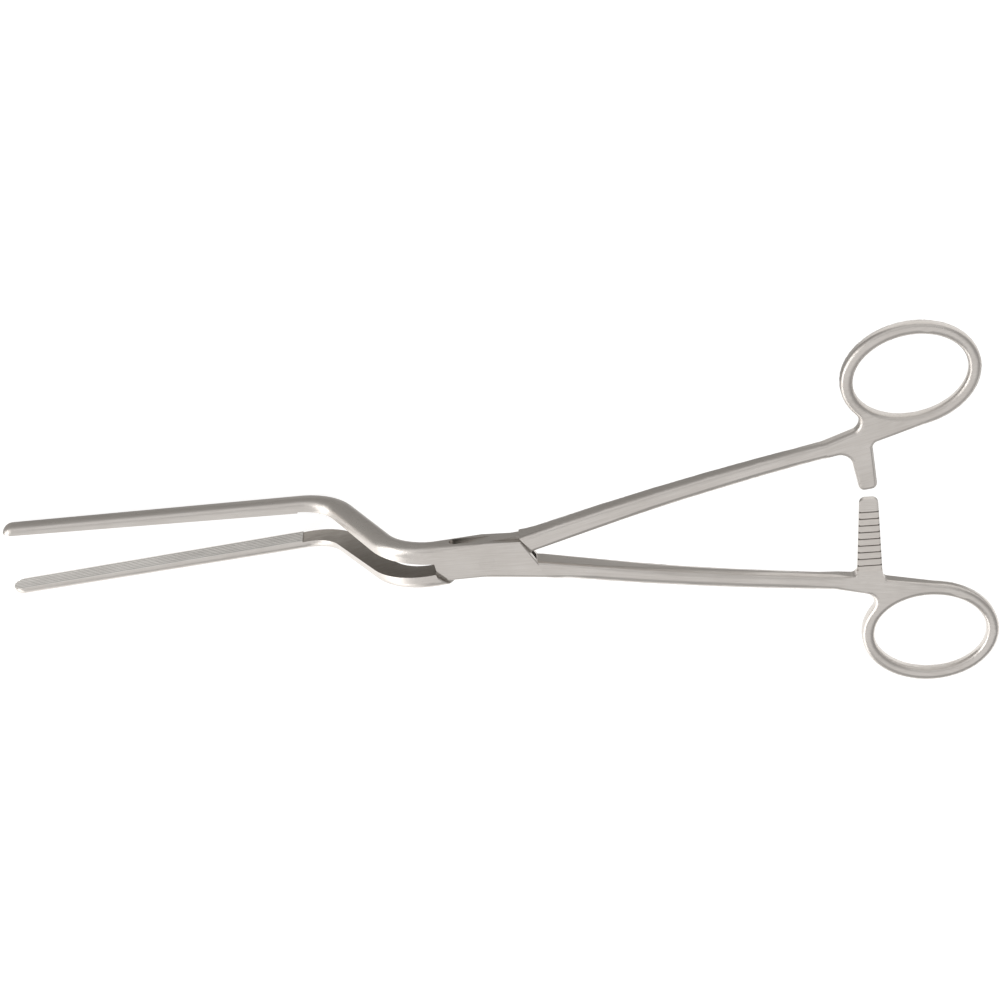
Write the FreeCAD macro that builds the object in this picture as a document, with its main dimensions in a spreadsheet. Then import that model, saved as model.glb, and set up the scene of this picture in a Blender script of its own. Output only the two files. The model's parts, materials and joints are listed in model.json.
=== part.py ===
import FreeCAD, Part
import math
import os
import Sketcher
from FreeCAD import Placement, Rotation, Vector

# Intestinal forceps: two crossed halves on a box lock pin, shown open.
# Millimetres. X runs from the jaw tips to the finger rings, Y across the
# opening, Z along the lock pin. Each half is drawn closed about the pin
# and then turned by half of the opening.

SIZES = {
    # Resting pose
    "open_half": 3.55,
    "pin_level": 44.0,
    # Bar that makes jaw, bend and neck
    "bar_depth": 7.2,
    "bar_blank": 9.0,
    "bar_round": 3.1,
    "tang_bar_round": 2.2,
    "tip_round": 3.3,
    "tip_x": -152.4,
    "tip_inner": 0.06,
    "tip_outer": 2.56,
    "heel_x": -59.0,
    "heel_inner": 1.25,
    "heel_step": 0.4,
    "jaw_drop": 40.4,
    "bend_angle": 61.5,
    "bend_x": -48.7,
    "bend_near": 12.0,
    "bend_far": 14.2,
    # Neck and box lock
    "neck_x": -15.9,
    "neck_inner": 0.8,
    "neck_box": 6.18,
    "neck_tang": 5.4,
    "box_start": -1.0,
    "box_round": 0.3,
    "box_low_round": 0.8,
    "box_top_left": 6.5,
    "box_top": 6.3,
    "box_low": 4.85,
    "wall_left": -15.3,
    "wall_left_drop": 2.0,
    "wall_low_left": -11.8,
    "wall_low_drop": 0.3,
    "box_low_x": -3.0,
    "wall_right": 15.2,
    "wall_right_drop": 1.0,
    "wall_top_right": 10.5,
    "slot_width": 3.4,
    "slot_end": 11.1,
    "slot_knee": 4.5,
    "slot_far_x": 18.0,
    "slot_far": 2.3,
    "lock_bevel": 0.3,
    "tang_play": 0.05,
    "tang_end": 9.3,
    "tang_low_notch": 4.0,
    "tang_low": 5.0,
    "tang_knee_x": 8.4,
    "tang_knee": 5.7,
    "tang_back_x": 2.0,
    "tang_back": 6.3,
    "tang_high_notch": 3.9,
    "tang_high": 4.6,
    "tang_crown_x": 10.5,
    "tang_crown": 4.3,
    "shoulder_gap": 0.3,
    "pin_size": 4.6,
    "pin_play": 0.03,
    "pin_fit": 0.01,
    # Handle shank
    "shank_x": 17.0,
    "shoulder_outer_x": 10.9,
    "shoulder_outer": 6.15,
    "shoulder_inner_x": 14.5,
    "shoulder_inner": 1.0,
    "taper_x": 10.0,
    "shank_inner": 1.2,
    "shank_outer": 6.45,
    "shank_end": 106.0,
    "shank_end_inner": 13.3,
    "shank_end_outer": 18.2,
    "shank_bow_outer": 1000.0,
    "shank_bow_inner": 1200.0,
    "handle_far_x": 156.0,
    "handle_far": 2.2,
    "handle_round": 1.2,
    "handle_round_back": 1.0,
    # Finger ring
    "ring_x": 133.7,
    "ring_side": 35.0,
    "ring_long": 21.05,
    "ring_short": 16.55,
    "ring_hole_long": 17.2,
    "ring_hole_short": 12.8,
    "ring_tilt": 3.3,
    "ring_join_x": 11.7,
    "ring_join": 3.6,
    "ring_touch_x": 3.8,
    "ring_touch_outer": 1.8,
    "ring_touch_inner": 0.47,
    # Ratchet arms
    "arm_middle": 116.0,
    "arm_cut": 9.0,
    "arm_root_left": 17.5,
    "arm_root_right": 119.6,
    "arm_root_rise": 18.5,
    "arm_corner": 1.8,
    "arm_root_low": 2.0,
    "crotch_round": 3.5,
    "arm_gap": 0.1,
    "arm_ramp_low": 17.0,
    "arm_ramp_high": 13.4,
    "arm_ramp_rise": 3.4,
    "arm_bevel": 0.6,
    "long_arm_tip": 11.1,
    "long_arm_left": 111.6,
    "long_arm_tip_left": 112.8,
    "long_arm_tip_right": 118.4,
    "long_arm_blend": 2.0,
    "short_arm_tip": 0.9,
    "short_arm_left": 112.2,
    "short_arm_tip_left": 113.7,
    "short_arm_tip_right": 119.1,
    "short_arm_blend": 4.0,
    "tooth_pitch": 2.26,
    "tooth_depth": 0.55,
    "tooth_lean": 0.06,
    "long_arm_first": 6.85,
    "long_arm_teeth": 9,
    "short_arm_first": 2.2,
    "short_arm_teeth": 3,
    # Lengthwise serration of the jaws
    "groove_count": 6,
    "groove_pitch": 1.08,
    "groove_width": 0.62,
    "groove_depth": 0.3,
}

# How far a cut runs past the material that it removes.
CLEAR = 8.0
# How far a shallow cut starts off the face that it enters.
SKIN = 0.02

doc = FreeCAD.newDocument("forceps")
sheet = doc.addObject("Spreadsheet::Sheet", "dims")
for row, (alias, number) in enumerate(SIZES.items(), start=1):
    sheet.set(f"A{row}", alias.replace("_", " "))
    sheet.set(f"B{row}", str(number))
    sheet.setAlias(f"B{row}", alias)
doc.recompute()


class Dim:
    """A length together with the spreadsheet expression that drives it."""

    def __init__(self, value, text):
        self.value = float(value)
        self.text = text

    def __add__(self, other):
        other = as_dim(other)
        return Dim(self.value + other.value, f"({self.text} + {other.text})")

    def __sub__(self, other):
        other = as_dim(other)
        return Dim(self.value - other.value, f"({self.text} - {other.text})")

    def __mul__(self, other):
        other = as_dim(other)
        return Dim(self.value * other.value, f"({self.text} * {other.text})")

    def __truediv__(self, other):
        other = as_dim(other)
        return Dim(self.value / other.value, f"({self.text} / {other.text})")

    def __neg__(self):
        return Dim(-self.value, f"(-1 * {self.text})")


def as_dim(number):
    """Wrap a plain number so that it can be mixed with driven ones."""
    if isinstance(number, Dim):
        return number
    return Dim(number, f"({number})" if number < 0 else str(number))


def size(alias):
    """Return the driven dimension of one spreadsheet cell."""
    return Dim(sheet.get(alias), f"dims.{alias}")


def tangent(angle):
    """Return the tangent of a driven angle in degrees."""
    return Dim(math.tan(math.radians(angle.value)), f"tan({angle.text} * 1 deg)")


def origin_plane(body, role):
    """Find one of a body's own base planes or axes."""
    return next(item for item in body.Origin.OriginFeatures if item.Role == role)


def sketch_on(body, name, role, shift=None):
    """Start a sketch on a base plane, optionally moved along its normal."""
    sketch = body.newObject("Sketcher::SketchObject", name)
    sketch.AttachmentSupport = [(origin_plane(body, role), "")]
    sketch.MapMode = "FlatFace"
    if shift is not None:
        sketch.AttachmentOffset = Placement(Vector(0, 0, shift.value), Rotation())
        sketch.setExpression("AttachmentOffset.Base.z", shift.text)
    return sketch


def pin_vertex(sketch, geo, end, point):
    """Hold one end of a line at its driven place."""
    for kind, part in (("DistanceX", point[0]), ("DistanceY", point[1])):
        index = sketch.addConstraint(Sketcher.Constraint(kind, -1, 1, geo, end, part.value))
        sketch.setExpression(f"Constraints[{index}]", part.text)


def outline(sketch, points, bows=None):
    """Draw a closed outline; bows gives a radius for sides that are arcs.

    A positive radius bends the side to the left of its direction of travel,
    a negative one to the right.
    """
    bows = bows or {}
    points = [(as_dim(a), as_dim(b)) for a, b in points]
    sides = []
    for number, first in enumerate(points):
        second = points[(number + 1) % len(points)]
        start = Vector(first[0].value, first[1].value, 0)
        stop = Vector(second[0].value, second[1].value, 0)
        if number in bows:
            radius = abs(bows[number].value)
            across = (stop - start).cross(Vector(0, 0, 1)).normalize()
            if bows[number].value > 0:
                across = -across
            half = (stop - start).Length / 2
            rise = radius - math.sqrt(radius * radius - half * half)
            middle = (start + stop) / 2 + across * rise
            sides.append(sketch.addGeometry(Part.Arc(start, middle, stop), False))
        else:
            sides.append(sketch.addGeometry(Part.LineSegment(start, stop), False))
    for number, side in enumerate(sides):
        following = sides[(number + 1) % len(sides)]
        ends = []
        for geo, point in ((side, points[(number + 1) % len(points)]), (following, points[(number + 1) % len(points)])):
            target = Vector(point[0].value, point[1].value, 0)
            near = sketch.getPoint(geo, 1)
            ends.append(1 if (near - target).Length < 1e-6 else 2)
        sketch.addConstraint(Sketcher.Constraint("Coincident", side, ends[0], following, ends[1]))
        pin_vertex(sketch, side, ends[0], points[(number + 1) % len(points)])
    for number, bow in bows.items():
        index = sketch.addConstraint(Sketcher.Constraint("Radius", sides[number], abs(bow.value)))
        sketch.setExpression(f"Constraints[{index}]", f"abs({bow.text})")
    return sketch


def pad(body, name, sketch, length, symmetric=True, reverse=False):
    """Raise a sketch into solid material."""
    length = as_dim(length)
    feature = body.newObject("PartDesign::Pad", name)
    feature.Profile = sketch
    feature.Length = length.value
    feature.setExpression("Length", length.text)
    feature.SideType = "Symmetric" if symmetric else "One side"
    feature.Reversed = reverse
    sketch.Visibility = False
    doc.recompute()
    return feature


def pocket(body, name, sketch, length=None, symmetric=True, reverse=False):
    """Cut a sketch out of the body, right through when no depth is given."""
    before = body.Shape.Volume
    feature = body.newObject("PartDesign::Pocket", name)
    feature.Profile = sketch
    if length is None:
        feature.Type = "ThroughAll"
    else:
        length = as_dim(length)
        feature.Length = length.value
        feature.setExpression("Length", length.text)
    feature.SideType = "Symmetric" if symmetric else "One side"
    feature.Reversed = reverse
    sketch.Visibility = False
    doc.recompute()
    if not feature.Shape.Volume < before - 1e-3:
        raise RuntimeError(f"{name} removed nothing")
    return feature


def round_edges(body, name, radius, wanted, kind="PartDesign::Fillet"):
    """Round or bevel the edges of the current solid for which wanted is true."""
    base = body.Tip
    names = []
    for number, edge in enumerate(base.Shape.Edges, start=1):
        if wanted(edge):
            names.append(f"Edge{number}")
    if not names:
        raise RuntimeError(f"{name} found no edges")
    feature = body.newObject(kind, name)
    feature.Base = (base, names)
    if kind == "PartDesign::Fillet":
        feature.Radius = radius.value
        feature.setExpression("Radius", radius.text)
    else:
        feature.Size = radius.value
        feature.setExpression("Size", radius.text)
    doc.recompute()
    if "Invalid" in feature.State or not feature.Shape.isValid():
        raise RuntimeError(f"{name} could not be made")
    return feature


def middle_of(edge):
    """Return the point halfway along an edge."""
    return edge.valueAt((edge.FirstParameter + edge.LastParameter) / 2)


def runs_along(edge, axis):
    """Tell whether an edge is straight and parallel to an axis."""
    along = edge.Vertexes[-1].Point - edge.Vertexes[0].Point
    if along.Length < 1e-6 or abs(along.Length - edge.Length) > 1e-5:
        return False
    return abs(along.normalize().dot(axis)) > 0.99999


def circle_on(body, name, role, radius, at_x=None, shift=None):
    """Draw one circle on a base plane, centred on the origin or along the plane's first axis."""
    sketch = sketch_on(body, name, role, shift)
    centre = Vector(at_x.value if at_x else 0, 0, 0)
    ring = sketch.addGeometry(Part.Circle(centre, Vector(0, 0, 1), radius.value), False)
    if at_x is None:
        sketch.addConstraint(Sketcher.Constraint("Coincident", ring, 3, -1, 1))
    else:
        sketch.addConstraint(Sketcher.Constraint("PointOnObject", ring, 3, -1))
        index = sketch.addConstraint(Sketcher.Constraint("DistanceX", -1, 1, ring, 3, at_x.value))
        sketch.setExpression(f"Constraints[{index}]", at_x.text)
    index = sketch.addConstraint(Sketcher.Constraint("Radius", ring, radius.value))
    sketch.setExpression(f"Constraints[{index}]", radius.text)
    return sketch


def rounded_bar_section(sketch, low, high, side, radius):
    """Draw a bar's cross section, flat inside and rounded outside."""
    half = size("bar_depth") / 2
    inner = low * side
    outer = high * side
    knee = (high - radius) * side
    corners = [
        (inner, -half),
        (inner, half),
        (knee, half),
        (outer, half - radius),
        (outer, radius - half),
        (knee, -half),
    ]
    bow = radius * side
    return outline(sketch, corners, {2: bow, 4: bow})


def build_bar(body, side, neck_outer, rounding):
    """Make jaw, double bend and neck as one flat-backed bar."""
    tip_x, neck_x = size("tip_x"), size("neck_x")
    far = size("bar_blank") * side
    plan = sketch_on(body, "BarPlan", "XY_Plane")
    outline(plan, [
        (tip_x, -far),
        (neck_x, -far),
        (neck_x, neck_outer * side),
        (tip_x, size("tip_outer") * side),
    ])
    half = size("bar_depth") / 2
    low = -size("jaw_drop")
    pad(body, "BarBlank", plan, (size("jaw_drop") + half + CLEAR) * 2)

    reach = size("jaw_drop") + size("bar_depth") + CLEAR * 2
    before_tip, past_neck = tip_x - CLEAR, neck_x + CLEAR
    turn = size("bend_angle")
    shift = half * tangent(turn / 2)
    lower_x = size("bend_x")
    upper_x = lower_x + size("jaw_drop") / tangent(turn)
    top = sketch_on(body, "BarFront", "XZ_Plane")
    outline(top, [
        (before_tip, low + half),
        (lower_x - shift, low + half),
        (upper_x - shift, half),
        (past_neck, half),
        (past_neck, reach),
        (before_tip, reach),
    ])
    pocket(body, "FrontWaste", top)
    bottom = sketch_on(body, "BarBack", "XZ_Plane")
    outline(bottom, [
        (before_tip, low - half),
        (lower_x + shift, low - half),
        (upper_x + shift, -half),
        (past_neck, -half),
        (past_neck, -reach),
        (before_tip, -reach),
    ])
    pocket(body, "BackWaste", bottom)

    across = Vector(0, 1, 0)
    near = size("bend_near")
    far_radius = size("bend_far")
    depth = size("bar_depth")
    bends = [
        ("LowerBendFront", near, lower_x - shift, low + half),
        ("LowerBendBack", near + depth, lower_x + shift, low - half),
        ("UpperBendFront", far_radius + depth, upper_x - shift, half),
        ("UpperBendBack", far_radius, upper_x + shift, -half),
    ]
    for name, radius, at_x, at_z in bends:
        spot = Vector(at_x.value, 0, at_z.value)
        round_edges(body, name, radius, lambda edge: runs_along(edge, across)
                    and (middle_of(edge) - Vector(0, middle_of(edge).y, 0) - spot).Length < 0.01)
    round_edges(body, "TipRound", size("tip_round"), lambda edge: runs_along(edge, across)
                and abs(middle_of(edge).x - tip_x.value) < 0.01)

    start = Vector(tip_x.value, size("tip_outer").value * side, 0)
    stop = Vector(neck_x.value, neck_outer.value * side, 0)
    normal = (stop - start).cross(Vector(0, 0, 1)).normalize()

    def on_outer_face(edge):
        """Pick the long edges of the outer face, without the neck's end."""
        spots = [vertex.Point for vertex in edge.Vertexes] + [middle_of(edge)]
        flat = all(abs((spot - start).dot(normal)) < 0.01 for spot in spots)
        return flat and middle_of(edge).x < neck_x.value - 0.05

    round_edges(body, "BarRound", rounding, on_outer_face)

    inner = sketch_on(body, "InnerPlan", "XY_Plane")
    under = -(size("bar_blank") + CLEAR) * side
    outline(inner, [
        (before_tip, under),
        (before_tip, size("tip_inner") * side),
        (tip_x, size("tip_inner") * side),
        (size("heel_x"), size("heel_inner") * side),
        (size("heel_x"), (size("heel_inner") + size("heel_step")) * side),
        (neck_x, size("neck_inner") * side),
        (past_neck, size("neck_inner") * side),
        (past_neck, under),
    ])
    pocket(body, "InnerWaste", inner)


def build_neck(body, side, neck_outer, box_outer):
    """Blend the rounded neck into the squarer lock."""
    first = sketch_on(body, "NeckEnd", "YZ_Plane", size("neck_x"))
    rounded_bar_section(first, size("neck_inner"), neck_outer, side, size("bar_round"))
    second = sketch_on(body, "LockEnd", "YZ_Plane", size("box_start"))
    rounded_bar_section(second, size("neck_inner"), box_outer, side, size("box_round"))
    loft = body.newObject("PartDesign::AdditiveLoft", "NeckBlend")
    loft.Profile = first
    loft.Sections = [second]
    loft.Ruled = True
    first.Visibility = False
    second.Visibility = False
    doc.recompute()


def ellipse_on(body, name, side, long_half, short_half):
    """Draw one of the finger ring's ellipses, tilted about its centre."""
    sketch = body.newObject("Sketcher::SketchObject", name)
    sketch.AttachmentSupport = [(origin_plane(body, "XY_Plane"), "")]
    sketch.MapMode = "FlatFace"
    centre_x = size("ring_x")
    centre_y = size("ring_side") * -side
    tilt = size("ring_tilt") * -side
    sketch.AttachmentOffset = Placement(
        Vector(centre_x.value, centre_y.value, 0), Rotation(Vector(0, 0, 1), tilt.value))
    sketch.setExpression("AttachmentOffset.Base.x", centre_x.text)
    sketch.setExpression("AttachmentOffset.Base.y", centre_y.text)
    sketch.setExpression("AttachmentOffset.Rotation.Angle", tilt.text)
    ring = sketch.addGeometry(Part.Ellipse(
        Vector(long_half.value, 0, 0), Vector(0, short_half.value, 0), Vector(0, 0, 0)), False)
    sketch.exposeInternalGeometry(ring)
    sketch.addConstraint(Sketcher.Constraint("Coincident", ring, 3, -1, 1))
    sketch.addConstraint(Sketcher.Constraint("Horizontal", ring + 1))
    for line, half in ((ring + 1, long_half), (ring + 2, short_half)):
        length = half * 2
        index = sketch.addConstraint(Sketcher.Constraint("Distance", line, length.value))
        sketch.setExpression(f"Constraints[{index}]", length.text)
    return sketch


def wall_edges(first, second):
    """Make a test for the front and back edges of the lock's wall between two plan points."""
    start = Vector(first[0].value, first[1].value, 0)
    stop = Vector(second[0].value, second[1].value, 0)
    along = (stop - start).normalize()
    half = size("bar_depth").value / 2

    def wanted(edge):
        """Pick straight edges on the wall's line, on the front or back face."""
        spots = [vertex.Point for vertex in edge.Vertexes]
        if len(spots) != 2 or any(abs(abs(spot.z) - half) > 0.01 for spot in spots):
            return False
        flat = [Vector(spot.x, spot.y, 0) for spot in spots]
        on_line = all((spot - start).cross(along).Length < 0.01 for spot in flat)
        return on_line and (flat[0] - flat[1]).Length > 1.0

    return wanted


def build_female_lock(body, side):
    """Make the box of the lock, a block with a slot right through it."""
    box_top, box_low = size("box_top"), size("box_low")
    block = sketch_on(body, "BoxPlan", "XY_Plane")
    outline(block, [
        (size("neck_x"), size("neck_inner") * side),
        (size("wall_left"), size("wall_left_drop") * -side),
        (size("wall_low_left"), (box_low + size("wall_low_drop")) * -side),
        (size("box_low_x"), box_low * -side),
        (size("shank_x"), size("shank_outer") * -side),
        (size("shank_x"), size("shank_inner") * -side),
        (size("wall_right"), size("wall_right_drop") * -side),
        (size("wall_top_right"), box_top * side),
        (size("box_start"), size("box_top_left") * side),
        (size("box_start"), size("neck_inner") * side),
    ])
    pad(body, "BoxBlock", block, size("bar_depth"))


def build_male_lock(body, side):
    """Make the left shoulder and the thin tang that runs through the box."""
    gap = size("shoulder_gap")
    shoulder_high = (size("wall_left") - gap, size("wall_left_drop") * side)
    low = size("neck_tang") - gap / 3
    shoulder_low = (size("wall_low_left") - gap, low * side)
    neck_x, neck_inner = size("neck_x"), size("neck_inner")
    end_x = size("wall_low_left") + 1
    section = sketch_on(body, "LeftShoulderEnd", "YZ_Plane", neck_x)
    rounded_bar_section(section, neck_inner, size("neck_tang"), side, size("tang_bar_round"))
    pad(body, "LeftShoulder", section, end_x - neck_x, symmetric=False)
    lean = (size("wall_low_left") - size("wall_left")) / (low - size("wall_left_drop"))
    waste = sketch_on(body, "LeftShoulderWaste", "XY_Plane")
    outline(waste, [
        (neck_x, neck_inner * side),
        shoulder_high,
        (shoulder_low[0] + lean, (low + 1) * side),
        (end_x + 1, (low + 1) * side),
        (end_x + 1, -neck_inner * side),
        (neck_x, -neck_inner * side),
    ])
    pocket(body, "LeftShoulderCut", waste)
    round_edges(body, "ShoulderBevel", size("lock_bevel"),
                wall_edges(shoulder_high, shoulder_low), "PartDesign::Chamfer")
    tang = sketch_on(body, "TangPlan", "XY_Plane")
    end = size("tang_end")
    outline(tang, [
        (neck_x, neck_inner * side),
        (neck_x + 1, neck_inner * side),
        (-end, size("tang_low_notch") * -side),
        (-end, size("tang_low") * -side),
        (-size("tang_knee_x"), size("tang_knee") * -side),
        (-size("tang_back_x"), size("tang_back") * -side),
        (size("shoulder_outer_x") + 0.6, size("shoulder_outer") * -side),
        (size("shoulder_inner_x") + 1, size("shoulder_inner") * 2 * -side),
        (size("shoulder_inner_x") - 0.2, size("shoulder_inner") * 0.6 * -side),
        (end, size("tang_high_notch") * side),
        (end, size("tang_high") * side),
        (-size("tang_crown_x"), size("tang_crown") * side),
        shoulder_low,
        (neck_x, size("neck_tang") * side),
    ])
    pad(body, "Tang", tang, size("slot_width") - size("tang_play") * 2)


def arm_sizes(kind, way):
    """Collect the sizes of a ratchet arm that ends way times its tip from the middle."""
    arm = {name: size(f"{kind}_arm_{name}") for name in ("left", "tip_left", "tip_right", "blend", "teeth")}
    arm["tip"] = size(f"{kind}_arm_tip") * way
    arm["first"] = size(f"{kind}_arm_first") * way
    return arm


def build_handle(body, side, arm, root, taper_start):
    """Make the shank, the finger ring and the outline of the ratchet arm."""
    depth = size("bar_depth")
    outer_x, outer_y, inner_x, inner_y = root
    ring_near = size("ring_side") - size("ring_short")
    shank = sketch_on(body, "ShankPlan", "XY_Plane")
    outline(shank, [
        (inner_x, inner_y * -side),
        (outer_x, outer_y * -side),
        (size("shank_end"), size("shank_end_outer") * -side),
        (size("ring_x") - size("ring_join_x"), (ring_near + size("ring_join")) * -side),
        (size("ring_x") + size("ring_touch_x"), (ring_near + size("ring_touch_outer")) * -side),
        (size("ring_x") + size("ring_touch_x"), (ring_near + size("ring_touch_inner")) * -side),
        (size("shank_end"), size("shank_end_inner") * -side),
    ], {1: size("shank_bow_outer") * -side, 6: size("shank_bow_inner") * side})
    pad(body, "Shank", shank, depth)
    rim = ellipse_on(body, "RingPlan", side, size("ring_long"), size("ring_short"))
    pad(body, "RingBlank", rim, depth)
    plan = sketch_on(body, "ArmPlan", "XY_Plane")
    outline(plan, [
        (arm["left"], size("arm_root_left") * -side),
        (arm["tip_left"], arm["tip"] * -side),
        (arm["tip_right"], arm["tip"] * -side),
        (size("arm_root_right"), size("arm_root_rise") * -side),
    ])
    pad(body, "ArmBlank", plan, depth)
    hole = ellipse_on(body, "RingHolePlan", side, size("ring_hole_long"), size("ring_hole_short"))
    pocket(body, "RingHole", hole)

    up = Vector(0, 0, 1)

    def corner(at_x, at_reach, half_x, half_reach):
        """Make a test for upright edges inside a window round one spot of the plan."""
        def wanted(edge):
            spot = middle_of(edge)
            reach = spot.y * -side
            return (runs_along(edge, up) and abs(spot.x - at_x.value) < half_x
                    and abs(reach - at_reach.value) < half_reach)
        return wanted

    inner_end = size("shank_end_inner")
    round_edges(body, "Crotch", size("crotch_round"),
                corner(size("ring_x") - 15, size("shank_end_outer") + 3.3, 7, 2.5))
    round_edges(body, "ArmRootLeft", arm["blend"], corner(arm["left"] + 0.6, inner_end + 1.2, 1.3, 1.5))
    round_edges(body, "ArmRootRight", size("arm_root_low"),
                corner(size("arm_root_right"), inner_end + 2.7, 0.6, 2))
    round_edges(body, "ArmTip", size("arm_corner"), corner(size("arm_middle"), arm["tip"], 4, 0.1))

    near = depth / 2
    far_x, far = size("handle_far_x"), size("handle_far")
    for name, way in (("Front", 1), ("Back", -1)):
        waste = sketch_on(body, f"Taper{name}Plan", "XZ_Plane")
        outline(waste, [
            (taper_start, near * way),
            (far_x, far * way),
            (far_x, (near + CLEAR) * way),
            (taper_start, (near + CLEAR) * way),
        ])
        pocket(body, f"Taper{name}", waste)

    slope = (near.value - far.value) / (far_x.value - taper_start.value)

    def on_handle_face(edge, way):
        """Pick the outline of the handle's front or back face."""
        for vertex in list(edge.Vertexes):
            spot = vertex.Point
            level = near.value - slope * (spot.x - taper_start.value)
            if spot.x < taper_start.value - 0.01 or abs(abs(spot.z) - level) > 0.01:
                return False
        return middle_of(edge).x > size("shank_x").value + 0.05 and middle_of(edge).z * way > 0

    for name, way, radius in (("Front", 1, "handle_round"), ("Back", -1, "handle_round_back")):
        round_edges(body, f"HandleRound{name}", size(radius),
                    lambda edge: on_handle_face(edge, way))


def cut_arm(body, side, arm):
    """Thin the ratchet arm to half depth and cut its teeth.

    The long arm lies at the back and its teeth face forward; the short arm
    lies in front and its teeth face back, so the two rows meet on closing.
    """
    way = side
    face = size("arm_gap") * -way
    middle_x, tip = size("arm_middle"), arm["tip"]
    past_tip = tip - CLEAR / 2
    front = size("bar_depth") / 2 + CLEAR / 4
    waste = sketch_on(body, "ArmWastePlan", "YZ_Plane", middle_x)
    outline(waste, [
        (size("arm_ramp_low") * -side, size("arm_ramp_rise") * way),
        (size("arm_ramp_high") * -side, face),
        (past_tip * -side, face),
        (past_tip * -side, front * way),
        (size("arm_ramp_low") * -side, front * way),
    ])
    pocket(body, "ArmWaste", waste, size("arm_cut"))

    bevel = size("arm_bevel")
    over = bevel * 2 / 3
    sides = (
        ("Left", arm["left"], arm["tip_left"], size("arm_root_left"), 1),
        ("Right", size("arm_root_right"), arm["tip_right"], size("arm_root_rise"), -1),
    )
    for name, root_x, tip_x, root_y, turn in sides:
        sections = []
        for part, reach in (("Tip", tip - 1), ("Root", size("arm_ramp_high") - 0.4)):
            edge_x = tip_x + (root_x - tip_x) * (reach - tip) / (root_y - tip)
            section = sketch_on(body, f"Bevel{name}{part}", "XZ_Plane", reach * side)
            outline(section, [
                (edge_x + bevel * turn, face),
                (edge_x - over * turn, face + bevel / 2 * way),
                (edge_x - over * turn, face - (bevel + over) * way),
            ])
            section.Visibility = False
            sections.append(section)
        cut = body.newObject("PartDesign::SubtractiveLoft", f"Bevel{name}")
        cut.Profile = sections[0]
        cut.Sections = [sections[1]]
        cut.Ruled = True
        doc.recompute()

    pitch, deep, crest = size("tooth_pitch"), size("tooth_depth"), arm["first"]
    tooth = sketch_on(body, "ToothPlan", "YZ_Plane", middle_x)
    outline(tooth, [
        (crest * -side, face + as_dim(SKIN) * way),
        ((crest + size("tooth_lean")) * -side, face - deep * way),
        ((crest + pitch) * -side, face + as_dim(SKIN) * way),
    ])
    notch = pocket(body, "Tooth", tooth, size("arm_cut"))
    row = body.newObject("PartDesign::LinearPattern", "ToothRow")
    row.Originals = [notch]
    row.Direction = (origin_plane(body, "Y_Axis"), [""])
    row.Reversed = side > 0
    row.Mode = "Spacing"
    row.Offset = pitch.value
    row.setExpression("Offset", pitch.text)
    row.Occurrences = int(arm["teeth"].value)
    row.setExpression("Occurrences", arm["teeth"].text)
    body.Tip = row
    doc.recompute()


def cut_serration(body, side):
    """Cut the lengthwise grooves of the jaw's gripping face."""
    count, pitch = size("groove_count"), size("groove_pitch")
    deep = size("groove_depth")
    half = size("groove_width") / 2 * (deep + SKIN) / deep
    first = -size("jaw_drop") - pitch * (count - 1) / 2
    rise = (size("heel_inner") - size("tip_inner")) / (size("heel_x") - size("tip_x"))
    ends = []
    for name, at_x in (("GrooveTip", size("tip_x") - 2), ("GrooveHeel", size("heel_x") + 1)):
        level = size("tip_inner") + rise * (at_x - size("tip_x"))
        section = sketch_on(body, name, "YZ_Plane", at_x)
        outline(section, [
            ((level - SKIN) * side, first - half),
            ((level + deep) * side, first),
            ((level - SKIN) * side, first + half),
        ])
        section.Visibility = False
        ends.append(section)
    groove = body.newObject("PartDesign::SubtractiveLoft", "Groove")
    groove.Profile = ends[0]
    groove.Sections = [ends[1]]
    groove.Ruled = True
    doc.recompute()
    row = body.newObject("PartDesign::LinearPattern", "GrooveRow")
    row.Originals = [groove]
    row.Direction = (origin_plane(body, "Z_Axis"), [""])
    row.Mode = "Spacing"
    row.Offset = pitch.value
    row.setExpression("Offset", pitch.text)
    row.Occurrences = int(count.value)
    row.setExpression("Occurrences", count.text)
    body.Tip = row
    doc.recompute()


def cut_slot(body, side):
    """Open the box for the tang, through from edge to edge."""
    end, knee = size("slot_end"), size("slot_knee")
    far_x, far_y = size("slot_far_x"), size("slot_far")
    out = size("box_top") + CLEAR / 2
    round_x = end - size("slot_width") / 2
    slot = sketch_on(body, "SlotPlan", "XY_Plane")
    outline(slot, [
        (-round_x, out * side),
        (-round_x, knee * side),
        (-end, knee * side),
        (-far_x, far_y * -side),
        (-far_x, out * -side),
        (round_x, out * -side),
        (round_x, knee * -side),
        (end, knee * -side),
        (far_x, far_y * side),
        (far_x, out * side),
    ])
    pocket(body, "Slot", slot, size("slot_width"))
    for name, way in (("SlotEndTop", 1), ("SlotEndLow", -1)):
        circle = circle_on(body, f"{name}Plan", "XZ_Plane", size("slot_width") / 2,
                           round_x * -way, knee * -way * side)
        pocket(body, name, circle, out - knee, symmetric=False, reverse=way * side < 0)


def pin_hole(body, play):
    """Bore the hole for the lock pin."""
    pocket(body, "PinHole", circle_on(body, "PinHolePlan", "XY_Plane", size("pin_size") / 2 + play))


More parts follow.
